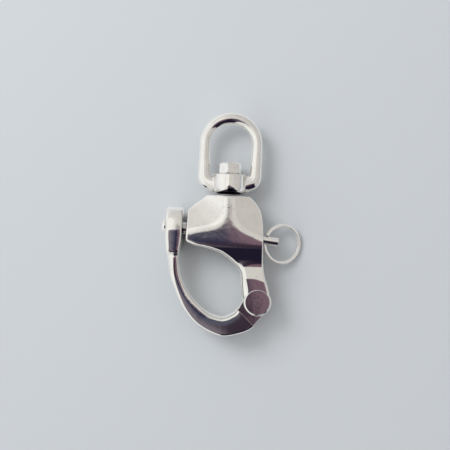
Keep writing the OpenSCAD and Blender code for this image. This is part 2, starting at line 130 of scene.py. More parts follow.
def curve(rows, t):
    """The row at t of a smooth curve through all the rows."""
    rows = np.asarray(rows, float)
    last = len(rows) - 1
    i = min(int(math.floor(t)), last - 1)
    f = t - i
    p0 = rows[i - 1] if i > 0 else 2 * rows[0] - rows[1]
    p1, p2 = rows[i], rows[i + 1]
    p3 = 2 * rows[last] - rows[last - 1] if i + 2 > last else rows[i + 2]
    return 0.5 * (2 * p1 + (p2 - p0) * f + (2 * p0 - 5 * p1 + 4 * p2 - p3) * f * f
                  + (3 * p1 - p0 - 3 * p2 + p3) * f ** 3)


def across(width, ra, depth, rb, steps, spans):
    """Distances across a section from its first edge, each with the depth of the rounding."""
    out = [(ra * (1 - cosd(90 * k / steps)), depth * (1 - sind(90 * k / steps)))
           for k in range(steps + 1)]
    out += [(mix(ra, width - rb, k / spans), 0) for k in range(1, spans)]
    out += [(width - rb * (1 - cosd(90 * k / steps)), rb * (1 - sind(90 * k / steps)))
            for k in range(steps, -1, -1)]
    return np.array(out)


# ---------------------------------------------------------------- mesh tools

def to_object(name, verts, faces, sharp=SHARP):
    """A smooth-shaded object from points in mm, crisp where it turns more than sharp degrees."""
    me = bpy.data.meshes.new(name)
    me.from_pydata((np.asarray(verts) * MM).tolist(), [], faces)
    ob = bpy.data.objects.new(name, me)
    bpy.context.scene.collection.objects.link(ob)
    tidy(ob, sharp)
    return ob


def tidy(ob, sharp=SHARP):
    """Welds the mesh, turns its faces outwards and marks its sharp edges."""
    bm = bmesh.new()
    bm.from_mesh(ob.data)
    bmesh.ops.remove_doubles(bm, verts=bm.verts, dist=WELD)
    bmesh.ops.dissolve_degenerate(bm, edges=bm.edges, dist=WELD)
    bmesh.ops.recalc_face_normals(bm, faces=bm.faces)
    for f in bm.faces:
        f.smooth = True
    for e in bm.edges:
        e.smooth = not (e.is_manifold and e.calc_face_angle(0) > math.radians(sharp))
    bm.to_mesh(ob.data)
    bm.free()


def ring_faces(rows, n):
    """Quads between rings of n points, with a cap at each end."""
    faces = []
    for i in range(rows - 1):
        a, b = i * n, (i + 1) * n
        for k in range(n):
            k2 = (k + 1) % n
            faces.append((a + k, b + k, b + k2, a + k2))
    faces.append(tuple(range(n)))
    faces.append(tuple(range((rows - 1) * n, rows * n))[::-1])
    return faces


def loft(name, rings, sharp=SHARP):
    """A skin over rings of equally many points, closed at both ends."""
    rings = np.asarray(rings, float)
    m, n = rings.shape[:2]
    return to_object(name, rings.reshape(-1, 3), ring_faces(m, n), sharp)


def revolve(name, profile, sides, place):
    """A profile of (radius, height) turned round its own Z, then placed by a matrix in mm."""
    verts = []
    for r, z in profile:
        for k in range(sides):
            a = 2 * math.pi * k / sides
            verts.append((r * math.cos(a), r * math.sin(a), z))
    verts = np.array(verts) @ np.array(place.to_3x3()).T + np.array(place.translation)
    return to_object(name, verts, ring_faces(len(profile), sides))


def on_swivel(y):
    return Matrix.Translation((0, y, MID)) @ Matrix.Rotation(math.radians(-90), 4, "X")


def beside_plunger(s):
    """A frame at length s on the plunger axis, with its X along that axis."""
    p = along(s, 0)
    return Matrix.Translation((p[0], p[1], MID)) @ Matrix.Rotation(math.radians(-TILT), 4, "Z")


def on_plunger(s):
    return beside_plunger(s) @ Matrix.Rotation(math.radians(90), 4, "Y")


def on_hinge(z=0):
    return Matrix.Translation((HINGE[0], HINGE[1], z))


def rod(name, r, z0, z1, place, sides=96):
    return revolve(name, [(r, z0), (r, z1)], sides, place)


def box_tool(name, lo, hi):
    x0, y0, z0 = lo
    x1, y1, z1 = hi
    v = [(x0, y0, z0), (x1, y0, z0), (x1, y1, z0), (x0, y1, z0),
         (x0, y0, z1), (x1, y0, z1), (x1, y1, z1), (x0, y1, z1)]
    f = [(0, 3, 2, 1), (4, 5, 6, 7), (0, 1, 5, 4), (1, 2, 6, 5), (2, 3, 7, 6), (3, 0, 4, 7)]
    return to_object(name, v, f)


def boolean(ob, tools, operation):
    """Joins or cuts with each tool in turn, and puts the result in the object's own mesh."""
    for t in tools:
        m = ob.modifiers.new("b", "BOOLEAN")
        m.operation = operation
        m.solver = "EXACT"
        m.object = t
    bake(ob)
    for t in tools:
        bpy.data.objects.remove(t)
    tidy(ob)


def steady_normals(ob):
    """Flat faces stay flat beside their roundings, because large faces decide the shading."""
    m = ob.modifiers.new("normals", "WEIGHTED_NORMAL")
    m.mode = "FACE_AREA"
    m.weight = 80
    m.keep_sharp = True


def bake(ob):
    bpy.context.view_layer.update()
    dg = bpy.context.evaluated_depsgraph_get()
    me = bpy.data.meshes.new_from_object(ob.evaluated_get(dg))
    ob.modifiers.clear()
    ob.data = me


def join(ob, others):
    """Puts other objects' meshes into one object, as separate shells."""
    bm = bmesh.new()
    bm.from_mesh(ob.data)
    for o in others:
        bm.from_mesh(o.data)
    bm.to_mesh(ob.data)
    bm.free()
    for o in others:
        bpy.data.objects.remove(o)


# ---------------------------------------------------------------- body

# on each side the crest is bounded by a slanting line and an upright one, with a round corner
CREST_LEFT_Y, CREST_LEFT_SLANT, CREST_LEFT_X = 3.9, 0.23, 0.9
CREST_RIGHT_Y, CREST_RIGHT_SLANT, CREST_RIGHT_X = 4.5, 0.45, 1.3
CREST_CORNER = 6


def past_crest(x, y):
    """How far a place lies past the crest, where the body starts to fall."""
    left = soft_min(y - CREST_LEFT_Y - CREST_LEFT_SLANT * x, -x - CREST_LEFT_X, CREST_CORNER)
    right = soft_min(y - CREST_RIGHT_Y + CREST_RIGHT_SLANT * x, x - CREST_RIGHT_X, CREST_CORNER)
    return np.maximum(left, right)


def neck_fall(y):
    """How far the neck has come down from the crest towards the waist."""
    start = -0.16 * HINGE_DROP
    slope = (BODY_T - WAIST_T) / 2 / (start + WAIST_DROP)
    return soft_max((start - y) * slope, 0, 0.9)


def cheek_half(x, y):
    """The cheek rises out of the waist, a little crowned, to where it is ground flat."""
    slope = (NECK_T - WAIST_T) / 2 / (CHEEK_DROP - WAIST_DROP)
    middle = HINGE[0] - 0.3 * (y + HINGE_DROP)
    rise = NECK_T / 2 - (y + CHEEK_DROP) * slope - 0.008 * (x - middle) ** 2
    return soft_min(rise, NECK_T / 2, 0.05)


def body_half(x, y):
    """Half the body's thickness at a place."""
    crest = BODY_T / 2 + 0.3 - soft_max(past_crest(x, y) * SLOPE, 0, 0.5) - neck_fall(y)
    return soft_min(soft_max(crest, cheek_half(x, y), 1.5) - 0.05, BODY_T / 2, 0.3)


def body_rows():
    """Cross lines from the body's left end to the hinge: inner end, outer end, inner rounding."""
    neck, side, drop = HINGE[0] - HINGE_R, HINGE[0] + HINGE_R, HINGE_DROP
    L, R, T, slim, wide = BODY_LEFT, BODY_RIGHT, BODY_TOP, INNER_R, NECK_R
    return np.array([
        [-L - 0.1, -0.13 * drop, -L + 0.2, 0.58 * T, slim],
        [-0.782 * L, -0.18 * drop, -0.826 * L, 0.744 * T, slim],
        [-0.555 * L, -0.206 * drop, -0.656 * L, 0.887 * T, slim],
        [-0.34 * L, -0.239 * drop, -LAND_W / 2 - 0.2, 1.01 * T, slim],
        [-0.12 * L, -0.29 * drop, -0.17 * LAND_W, 1.03 * T, slim],
        [0.164 * neck, -0.37 * drop, 0.17 * LAND_W, 1.03 * T, slim],
        [0.466 * neck, -0.44 * drop, LAND_W / 2 - 0.2, 1.01 * T, slim],
        [0.66 * neck, -0.505 * drop, 0.75 * R, 0.85 * T, wide],
        [0.785 * neck, -0.585 * drop, 0.925 * R, 0.56 * T, 1.3 * wide],
        [0.835 * neck, -0.67 * drop, R - 0.1, 0.09 * T, 1.4 * wide],
        [0.855 * neck, -0.755 * drop, mix(R, side, 0.02), -0.27 * drop, 1.4 * wide],
        [0.89 * neck, -0.845 * drop, mix(R, side, 0.23), -0.56 * drop, 1.3 * wide],
        [0.93 * neck, -0.935 * drop, mix(R, side, 0.65), -0.787 * drop, 1.1 * wide],
        [neck + 0.12, -drop, side - 0.12, -drop, wide]])


def body_ring(row, inset):
    """The section over one cross line, drawn in by inset at the body's rim."""
    row = row.copy()
    row[3] = soft_min(np.array(row[3]), np.array(BODY_TOP), 0.3)
    a, b, edge = row[:2], row[2:4], row[4]
    step = (b - a) / np.linalg.norm(b - a)
    a, b = a + step * inset, b - step * inset
    width = np.linalg.norm(b - a)
    r = across(width, edge, min(edge, NECK_R), OUTER_R, 9, 56)
    p = a + r[:, :1] * step
    half = body_half(p[:, 0], p[:, 1]) - inset - r[:, 1]
    top = np.column_stack([p, MID + half])
    low = np.column_stack([p, MID - half])[::-1]
    return np.vstack([top, low])


def disc_section(r, half, rim):
    """Half section of a disc with rounded rims."""
    top = [(r - rim + rim * cosd(a), half - rim + rim * sind(a)) for a in range(0, 91, 10)]
    top += [(0.01, half)]
    return [(x, -z) for x, z in top[::-1]] + top


def make_body():
    table = body_rows()
    rings = [body_ring(curve(table, RIM_R * (1 - cosd(t)) / 3), RIM_R * (1 - sind(t)))
             for t in range(0, 91, 15)]
    steps = 12
    rings += [body_ring(curve(table, i / steps), 0)
              for i in range(3, (len(table) - 1) * steps + 1)]
    ob = loft("shackle_body", rings)
    end = revolve("neck_end", disc_section(HINGE_R, NECK_T / 2 - 0.02, OUTER_R), 160,
                  on_hinge(MID))
    # the boss has a sloped rim, and a narrow level strip beside it so that its top shades flat
    top, foot = BOSS_R + 0.05, HINGE_R - 0.38
    low = BOSS_HALF - (foot - top) * BOSS_SLOPE
    flank = [(foot, low), (top, BOSS_HALF), (top - 0.12, BOSS_HALF), (0.01, BOSS_HALF)]
    boss = revolve("boss", [(r, -z) for r, z in flank[::-1]] + flank, 160, on_hinge(MID))
    seat = revolve("seat", [(SEAT_D / 2, -1.5), (SEAT_D / 2, SEAT_H - 0.1),
                            (SEAT_D / 2 - 0.1, SEAT_H)], 128, on_swivel(BODY_TOP))
    boolean(ob, [end, boss, seat], "UNION")
    slot = box_tool("slot", (-1, -60, MID - SLOT_HALF),
                    (60, -HINGE_DROP + SLOT_DEPTH, MID + SLOT_HALF))
    bore = rod("bore", PLUNGER_D / 2 + RUN, -BODY_LEFT - 3, SPRING_END, on_plunger(0))
    rod_bore = rod("rod_bore", ROD_D / 2 + RUN, SPRING_END - 1, 40, on_plunger(0))
    pin = rod("pin_hole", PIN_D / 2 + HELD, -2, BODY_T + 2, on_hinge())
    bolt = rod("bolt_bore", BOLT_D / 2 + HELD, BOLT_END - 0.4, SEAT_Y + 2, on_swivel(0))
    lock = rod("lock_bore", LOCK_D / 2 + HELD, -2, BODY_T + 2,
               Matrix.Translation((0, LOCK_Y, 0)), 48)
    boolean(ob, [slot, bore, rod_bore, pin, bolt, lock], "DIFFERENCE")
    return ob


# ---------------------------------------------------------------- jaw

SHOULDER_HEADING, SHOULDER_INNER, SHOULDER_OUTER = 226.3, 3.3, 6.05


def off(p, width, heading):
    """The place at a distance from p in a heading, in degrees from +X."""
    return np.asarray(p, float) + width * np.array([cosd(heading), sind(heading)])


def bow_at(fx, fy):
    """A place on the bow, from shares of the jaw's reach and of the hinge's drop."""
    return np.array([fx * JAW_REACH if fx < 0 else fx * HINGE[0],
                     -HINGE_DROP - (fy - 1) * BOW_BELOW if fy > 1 else -fy * HINGE_DROP])


SHOULDER_FOOT = off(HINGE, SHOULDER_OFF, SHOULDER_HEADING)
SHOULDER_IN = off(SHOULDER_FOOT, SHOULDER_INNER, SHOULDER_HEADING - 90)
SHOULDER_OUT = off(SHOULDER_FOOT, SHOULDER_OUTER, SHOULDER_HEADING + 90)


def lug_half(y):
    """Thickest a little above the plunger axis, domed above that and falling slightly below."""
    thickest = 0.27 * LUG_TOP
    u = max((y - thickest) / (LUG_TOP - thickest), 0)
    return LUG_T / 2 * math.sqrt(1 - 0.9 * u ** 2.6) - 0.012 * max(thickest - y, 0)


def lug_row(y, inset):
    return [-LUG_FACE - inset, y, -JAW_REACH + inset, y, lug_half(y), 0.17]


def jaw_row(a, b, half, outer):
    return [a[0], a[1], b[0], b[1], half, outer]


def run_out_row(fall, inner, outer, half, share):
    """A level row between the lug and the knee."""
    y = -fall * HINGE_DROP
    return [-LUG_FACE - inner, y, -outer * JAW_REACH, y, half, share]


def jaw_rows():
    """Cross lines from the lug's top to the shoulder: both ends, half thickness, outer rounding."""
    knee, slim = bow_at(-0.785, 0.403), bow_at(-0.755, 0.61)
    lower, bend, deep = bow_at(-0.658, 0.825), bow_at(-0.49, 1.06), bow_at(-0.27, 1.37)
    low = np.array([-0.03 * JAW_REACH, -HINGE_DROP - BOW_BELOW + BOW_W])
    rise = np.array([0.3 * HINGE[0], -HINGE_DROP - 0.355 * BOW_BELOW])
    return np.array([
        lug_row(LUG_TOP - 1.2, 0.1),
        lug_row(LUG_TOP - 2.9, 0),
        lug_row(0.5 * LUG_TOP, 0),
        lug_row(0.15 * LUG_TOP, 0),
        run_out_row(0.055, 0, 1, lug_half(-0.055 * HINGE_DROP), 0.17),
        run_out_row(0.2, 0.5, 0.985, lug_half(-0.2 * HINGE_DROP), 0.19),
        run_out_row(0.285, 0.9, 0.975, mix(LUG_T, ARM_T, 0.1) / 2, 0.21),
        run_out_row(0.307, 1, 0.972, mix(LUG_T, ARM_T, 0.4) / 2, 0.4),
        run_out_row(0.33, 1.1, 0.968, mix(LUG_T, ARM_T, 0.82) / 2, 0.62),
        jaw_row(knee, off(knee, ARM_W + 0.2, 183), 0.54 * ARM_T, 0.6),
        jaw_row(slim, off(slim, ARM_W - 0.1, 194), 0.5 * ARM_T, 0.46),
        jaw_row(lower, off(lower, ARM_W, 206), 0.5 * ARM_T, 0.27),
        jaw_row(bend, off(bend, mix(ARM_W, BOW_W, 0.33), 219), 0.52 * ARM_T, 0.13),
        jaw_row(deep, off(deep, mix(ARM_W, BOW_W, 0.63), 238), mix(ARM_T, NECK_T, 0.4) / 2, 0.12),
        jaw_row(low, off(low, BOW_W - 0.06, 270), mix(ARM_T, NECK_T, 0.7) / 2, 0.13),
        jaw_row(rise, off(rise, BOW_W + 1.2, 298), mix(ARM_T, NECK_T, 0.9) / 2, 0.12),
        jaw_row(SHOULDER_IN, SHOULDER_OUT, NECK_T / 2, 0.12)])


def jaw_ring(row):
    a, b, half = row[:2], row[2:4], row[4]
    width = np.linalg.norm(b - a)
    ra = min(0.125 * width, half * 0.5, INNER_R)
    rb = min(row[5] * width, half * 0.7)
    r = across(width, ra, ra, rb, 10, 16)
    p = a + r[:, :1] * (b - a) / width
    h = half - 0.12 * (2 * r[:, 0] / width - 1) ** 2 - r[:, 1]
    return np.vstack([np.column_stack([p, MID + h]), np.column_stack([p, MID - h])[::-1]])


def make_jaw():
    head = [(LUG_TOP, 0.75), (LUG_TOP - 0.06, 0.58), (LUG_TOP - 0.25, 0.4),
            (LUG_TOP - 0.42, 0.29), (LUG_TOP - 0.65, 0.2), (LUG_TOP - 0.9, 0.14)]
    table = jaw_rows()
    steps = 14
    rows = [np.array(lug_row(y, i)) for y, i in head]
    rows += [curve(table, i / steps) for i in range((len(table) - 1) * steps + 1)]
    ob = loft("shackle_jaw", [jaw_ring(r) for r in rows])
    # the tang fills the fork: an arc round the hinge, then corners inside the shoulder
    tang_r = HINGE_R - 0.05
    h = SHOULDER_HEADING
    root = off(SHOULDER_FOOT, 1.5, h)
    arc = [off(HINGE, tang_r, a) for a in np.arange(h + 93, h + 360 - 72 + 0.1, 4)]
    outline = arc + [off(HINGE, tang_r + 0.35, h - 44), off(SHOULDER_IN, 0.3, h + 90),
                     off(root, 3.1, h - 90), off(root, 4.6, h + 90),
                     off(SHOULDER_OUT, 0.3, h - 90), off(HINGE, tang_r + 0.45, h + 70)]
    bevel = 0.4
    outline = np.array(outline)
    centre = outline.mean(0)
    levels = []
    for z, shrink in ((-TANG_T / 2, bevel), (-TANG_T / 2 + bevel, 0),
                      (TANG_T / 2 - bevel, 0), (TANG_T / 2, bevel)):
        d = outline - centre
        k = 1 - shrink / np.linalg.norm(d, axis=1, keepdims=True)
        levels.append(np.column_stack([centre + d * k, np.full(len(outline), MID + z)]))
    tang = loft("tang", levels)
    boolean(ob, [tang], "UNION")
    pin = rod("pin_hole", PIN_D / 2 + RUN, -2, BODY_T + 2, on_hinge())
    lock = rod("lock_hole", PLUNGER_D / 2 + 2 * RUN, TIP_S - 1, TIP_S - 1 + LUG_W + 8,
               on_plunger(0))
    boolean(ob, [pin, lock], "DIFFERENCE")
    return ob


# ---------------------------------------------------------------- plunger, spring, ring, pins, bolt

def make_plunger():
    r, dome = PLUNGER_D / 2, 1.1
    profile = [(0.01, TIP_S)]
    profile += [(r - dome + dome * sind(a), TIP_S + dome * (1 - cosd(a))) for a in range(0, 91, 9)]
    profile += [(r, SPRING_START - 0.2), (r - 0.2, SPRING_START), (ROD_D / 2, SPRING_START),
                (ROD_D / 2, ROD_END - 0.35), (ROD_D / 2 - 0.1, ROD_END - 0.1),
                (ROD_D / 2 - 0.35, ROD_END), (0.01, ROD_END)]
    ob = revolve("plunger_pin", profile, 96, on_plunger(0))
    place = beside_plunger(HOLE_S) @ Matrix.Rotation(math.radians(90), 4, "X")
    hr, e = RING_HOLE / 2, 0.25
    hole = revolve("hole", [(hr + e, -4), (hr + e, -ROD_D / 2 + 0.2), (hr, -ROD_D / 2 + 0.2 + e),
                            (hr, ROD_D / 2 - 0.2 - e), (hr + e, ROD_D / 2 - 0.2), (hr + e, 4)],
                   64, place)
    boolean(ob, [hole], "DIFFERENCE")
    return ob


def make_spring():
    mean = (PLUNGER_D + 2 * RUN + ROD_D) / 4
    rise = SPRING_LEN - WIRE_D - 2 * HELD
    per_turn, sides = 40, 12
    steps = TURNS * per_turn
    start = SPRING_START + WIRE_D / 2 + HELD
    m = on_plunger(start)
    rings = []
    for i in range(steps + 1):
        a = 2 * math.pi * i / per_turn
        ring = []
        for k in range(sides):
            b = 2 * math.pi * k / sides
            r = mean + WIRE_D / 2 * math.cos(b)
            ring.append(m @ Vector((r * math.cos(a), r * math.sin(a),
                                    rise * i / steps - WIRE_D / 2 * math.sin(b))))
        rings.append(ring)
    return loft("coil_spring", rings, 60)


def make_ring():
    mean = (RING_D - RING_W) / 2
    pitch = RING_T + 0.04
    high = pitch + RING_T
    tilt = math.asin((MID - high / 2 - 0.1) / (mean + RING_D / 2))
    m = (beside_plunger(HOLE_S) @ Matrix.Rotation(tilt, 4, "Y")
         @ Matrix.Rotation(math.radians(-RING_TURN), 4, "Z") @ Matrix.Translation((mean, 0, 0)))
    w, t, cut = RING_W / 2, RING_T / 2, 0.24
    section = []
    for cx, cz, a0 in ((w - cut, t - cut, 0), (cut - w, t - cut, 90),
                       (cut - w, cut - t, 180), (w - cut, cut - t, 270)):
        section += [(cx + cut * cosd(a0 + a), cz + cut * sind(a0 + a)) for a in range(0, 91, 30)]
    rings = []
    for turn in np.arange(30, 690.1, 3):
        level = pitch * (min(max((turn - 330) / 60, 0), 1) - 0.5)
        a = math.radians(turn + 195)
        rings.append([m @ Vector(((mean + x) * math.cos(a), (mean + x) * math.sin(a), level + z))
                      for x, z in section])
    return loft("pull_ring", rings, 50)


def make_hinge_pin():
    h = BOSS_HALF - 0.05
    r = PIN_D / 2
    prof = [(0.01, -h), (r - 0.06, -h), (r, -h + 0.06), (r, h - 0.06), (r - 0.06, h), (0.01, h)]
    return revolve("hinge_rivet", prof, 96, on_hinge(MID))


def make_bolt():
    corner = HEAD_AF / cosd(30)
    turn = math.radians(18)
    dome = 1.56
    n = 24
    # the head: hexagon sections under a domed top, each point drawn in to the chamfer's circle
    heights = [0, 0.12, 0.3, 0.5, 1.0, 1.6, 2.2, 2.7, 3.0, 3.2, 3.4, 3.6, 3.8, 4.0, 4.15, 4.3,
               4.4, 4.46, HEAD_H]
    rings = []
    for z in heights:
        if z < 0.3:
            limit = corner / 2 - 0.3 + z
        elif z > HEAD_H - dome:
            f = (z - (HEAD_H - dome)) / dome
            limit = mix(corner / 2 + 0.1, 0.27 * HEAD_AF, 1 - math.sqrt(max(1 - f ** 1.7, 0)))
        else:
            limit = corner
        ring = []
        for k in range(6 * n):
            a = 2 * math.pi * k / (6 * n)
            local = (a % (math.pi / 3)) - math.pi / 6
            flat = HEAD_AF / 2 / math.cos(local)
            # the corners are a little rounded
            flat = float(soft_min(np.array(flat), np.array(corner / 2 - 0.06), 0.22))
            r = min(flat, limit)
            ring.append((r * math.cos(a + turn), r * math.sin(a + turn), z))
        rings.append(ring)
    m = on_swivel(HEAD_Y)
    rings = [[m @ Vector(v) for v in ring] for ring in rings]
    ob = loft("bolt", rings, 24)
    shank = revolve("shank", [(BOLT_D / 2 - 0.3, BOLT_END), (BOLT_D / 2, BOLT_END + 0.3),
                              (BOLT_D / 2, HEAD_Y + 0.3)], 96, on_swivel(0))
    join(ob, [shank])
    return ob


def make_lock_pin():
    h = BODY_T - 0.12
    prof = [(0.01, 0), (LOCK_D / 2 - 0.08, 0), (LOCK_D / 2, 0.06), (LOCK_D / 2, h - 0.06),
            (LOCK_D / 2 - 0.08, h), (0.01, h)]
    return revolve("lock_pin", prof, 48, Matrix.Translation((0, LOCK_Y, 0.06)))


# ---------------------------------------------------------------- bail

def bail_rows():
    inner, foot, head = BAIL_R - BAIL_BAR, COLLAR_Y, COLLAR_Y + COLLAR_H
    return np.array([
        [0.5 * inner, head - 0.8, 0.5 * inner, foot + 0.5, 0.62 * BAIL_BAR],
        [inner - 2.1, head - 0.7, inner - 1, foot + 1, 0.58 * BAIL_BAR],
        [inner - 0.9, head - 0.3, BAIL_R - 1.6, foot + 2.9, 0.54 * BAIL_BAR],
        [inner - 0.55, head + 0.6, BAIL_R + 0.1, foot + 5.8, 0.52 * BAIL_BAR],
        [inner - 0.4, head + 2.8, BAIL_R + 0.15, foot + 9, 0.5 * BAIL_BAR],
        [inner - 0.1, mix(head, BEND_Y, 0.6), BAIL_R + 0.05, mix(head, BEND_Y, 0.62),
         0.5 * BAIL_BAR],
        [inner, BEND_Y, BAIL_R, BEND_Y, 0.5 * BAIL_BAR]])


def make_bail():
    """Bar and collar joined, skinned over and smoothed into one casting, then bored."""
    inner = BAIL_R - BAIL_BAR
    table = bail_rows()
    leg = [curve(table, i / 10) for i in range((len(table) - 1) * 10 + 1)]
    bend = [np.array([inner * cosd(a), BEND_Y + (BAIL_R - BEND_BAR) * sind(a),
                      BAIL_R * cosd(a), BEND_Y + BAIL_R * sind(a), 0.5 * BAIL_BAR])
            for a in np.arange(3, 178, 3)]
    back = [np.array([-r[0], r[1], -r[2], r[3], r[4]]) for r in leg[::-1]]
    sides = 48
    rings = []
    for r in leg + bend + back:
        a, b = r[:2], r[2:4]
        rings.append([(*mix(a, b, (1 - cosd(360 * k / sides)) / 2),
                       MID + r[4] * sind(360 * k / sides)) for k in range(sides)])
    ob = loft("bail_eye", rings)
    r = COLLAR_D / 2
    prof = [(0.01, 0)]
    prof += [(r - FOOT_IN + FOOT_IN * sind(a), FOOT_UP * (1 - cosd(a))) for a in range(0, 91, 6)]
    prof += [(r, COLLAR_H - 0.5)] + [(r - 0.5 + 0.5 * cosd(a), COLLAR_H - 0.5 + 0.5 * sind(a))
                                     for a in range(10, 91, 10)] + [(0.01, COLLAR_H)]
    collar = revolve("collar", prof, 128, on_swivel(COLLAR_Y))
    boolean(ob, [collar], "UNION")
    m = ob.modifiers.new("skin", "REMESH")
    m.mode = "VOXEL"
    m.voxel_size = 0.17 * MM
    m.use_smooth_shade = True
    s = ob.modifiers.new("polish", "SMOOTH")
    s.factor = 0.5
    s.iterations = 14
    bake(ob)
    tidy(ob)
    bore = rod("bore", BOLT_D / 2 + RUN, COLLAR_Y - 2, COLLAR_Y + COLLAR_H + 2, on_swivel(0))
    boolean(ob, [bore], "DIFFERENCE")
    return ob


# ---------------------------------------------------------------- materials

def new_material(name):
    mat = bpy.data.materials.new(name)
    mat.use_nodes = True
    nt = mat.node_tree
    nt.nodes.clear()
    out = nt.nodes.new("ShaderNodeOutputMaterial")
    shader = nt.nodes.new("ShaderNodeBsdfPrincipled")
    nt.links.new(shader.outputs[0], out.inputs[0])
    return mat, nt, shader


def node(nt, kind, **values):
    n = nt.nodes.new(kind)
    for k, v in values.items():
        if k in n.inputs:
            n.inputs[k].default_value = v
        else:
            setattr(n, k, v)
    return n


def link(nt, a, b):
    nt.links.new(a, b)


def smooth_range(nt, value, lo, hi, top=1.0):
    """0 at lo and top at hi, eased at both ends."""
    n = node(nt, "ShaderNodeMapRange", interpolation_type="SMOOTHSTEP")
    n.inputs["From Min"].default_value = lo
    n.inputs["From Max"].default_value = hi
    n.inputs["To Max"].default_value = top
    link(nt, value, n.inputs["Value"])
    return n.outputs["Result"]


def mix_colour(nt, factor, a, b):
    """Colour a at factor 0 and b at 1, each given as a tuple or as a node's output."""
    n = node(nt, "ShaderNodeMix", data_type="RGBA")
    link(nt, factor, n.inputs["Factor"])
    # sockets 6 and 7 are the two colours and output 2 is their mix
    for socket, value in ((n.inputs[6], a), (n.inputs[7], b)):
        if isinstance(value, tuple):
            socket.default_value = (*value, 1)
        else:
            link(nt, value, socket)
    return n.outputs[2]


def math_node(nt, operation, a, b=0.0, c=0.0):
    """One calculation, with each term given as a number or as a node's output."""
    n = node(nt, "ShaderNodeMath", operation=operation)
    for socket, value in zip(n.inputs, (a, b, c)):
        if isinstance(value, (int, float)):
            socket.default_value = value
        else:
            link(nt, value, socket)
    return n.outputs[0]


# colours for painted shade in corners and at the collar's foot, and for pits
CORNER_SHADE, PIT, FOOT_SHADE = (0.05, 0.045, 0.05), (0.1, 0.09, 0.08), (0.03, 0.025, 0.035)
CORNER_SHADE_REACH, PIT_STRENGTH = 2.2 * MM, 0.13
FOOT_SHADE_WEDGE, FOOT_SHADE_RAGGED, FOOT_SHADE_EDGE = 0.33, 0.5, 0.35


def steel(name, tone, rough, wave=1.0, foot_shade_top=None):
    """Polished steel: uneven tone and polish, painted shade in corners, a few pits, painted shade
    at the collar's foot if asked.
    """
    mat, nt, sh = new_material(name)
    coord = node(nt, "ShaderNodeTexCoord")

    def noise(scale, detail, roughness):
        n = node(nt, "ShaderNodeTexNoise", Scale=scale, Detail=detail, Roughness=roughness)
        link(nt, coord.outputs["Object"], n.inputs["Vector"])
        return n.outputs["Fac"]

    waves = noise(260.0, 3.0, 0.5)
    ramp = node(nt, "ShaderNodeValToRGB")
    for stop, position, share in zip(ramp.color_ramp.elements, (0.3, 0.7), (0.93, 1)):
        stop.position = position
        stop.color = (*[c * share for c in tone], 1)
    link(nt, waves, ramp.inputs["Fac"])

    # painted shade: ambient occlusion darkens the colour in corners, gaps and recesses, where shade
    # falls
    corner = node(nt, "ShaderNodeAmbientOcclusion", Distance=CORNER_SHADE_REACH, samples=16)
    unshaded = smooth_range(nt, corner.outputs["AO"], 0.1, 0.75)
    colour = mix_colour(nt, unshaded, CORNER_SHADE, ramp.outputs["Color"])
    pits = smooth_range(nt, noise(800.0, 2.0, 0.4), 0.66, 0.74, PIT_STRENGTH)
    colour = mix_colour(nt, pits, colour, PIT)
    if foot_shade_top is not None:
        # painted shade below a height on the swivel axis, where shade falls under the collar, with
        # a ragged edge that falls outwards
        axes = node(nt, "ShaderNodeSeparateXYZ")
        link(nt, coord.outputs["Object"], axes.inputs[0])
        off_axis = math_node(nt, "ABSOLUTE", axes.outputs["X"])
        wedge = math_node(nt, "MULTIPLY_ADD", off_axis, FOOT_SHADE_WEDGE, axes.outputs["Y"])
        ragged = math_node(nt, "MULTIPLY_ADD", waves, FOOT_SHADE_RAGGED * MM, wedge)
        out_of_shade = smooth_range(nt, ragged, foot_shade_top * MM, (foot_shade_top + FOOT_SHADE_EDGE) * MM)
        colour = mix_colour(nt, out_of_shade, FOOT_SHADE, colour)
    link(nt, colour, sh.inputs["Base Color"])

    polish = node(nt, "ShaderNodeMapRange")
    polish.inputs["To Min"].default_value = rough * 0.75
    polish.inputs["To Max"].default_value = rough * 1.35
    link(nt, noise(1500.0, 4.0, 0.6), polish.inputs["Value"])
    link(nt, polish.outputs["Result"], sh.inputs["Roughness"])
    bump = node(nt, "ShaderNodeBump", Strength=0.08 * wave, Distance=0.2 * MM)
    link(nt, waves, bump.inputs["Height"])
    link(nt, bump.outputs["Normal"], sh.inputs["Normal"])
    sh.inputs["Metallic"].default_value = 1.0
    return mat


CAST_TONE, CAST_ROUGH, CAST_WAVE = (0.78, 0.765, 0.735), 0.06, 1.15
cast = steel("polished_cast_steel", CAST_TONE, CAST_ROUGH, CAST_WAVE)
turned = steel("turned_steel", (0.79, 0.775, 0.75), 0.1)
# the bail's collar has painted shade at its foot
bail_mat = steel("bail_steel", CAST_TONE, CAST_ROUGH, CAST_WAVE, foot_shade_top=COLLAR_Y + 2.15)
spring_mat = steel("spring_wire", (0.56, 0.56, 0.56), 0.22)
ring_mat = steel("ring_wire", (0.86, 0.855, 0.84), 0.08)


def keep_inside(ob, node_name):
    """Rounded shapes a hair larger than the CAD's facets are held to the CAD's own box."""
    lo, hi = (np.array(v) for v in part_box(node_name))
    n = len(ob.data.vertices)
    co = np.empty(3 * n)
    ob.data.vertices.foreach_get("co", co)
    co = np.clip(co.reshape(n, 3), lo, hi)
    ob.data.vertices.foreach_set("co", co.ravel())
    ob.data.update()


def finish_piece(ob, body, nodes, mat):
    keep_inside(ob, nodes[0])
    ob.data.materials.clear()
    ob.data.materials.append(mat)
    steady_normals(ob)
    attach(ob, body)
    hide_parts(*nodes)
    return ob


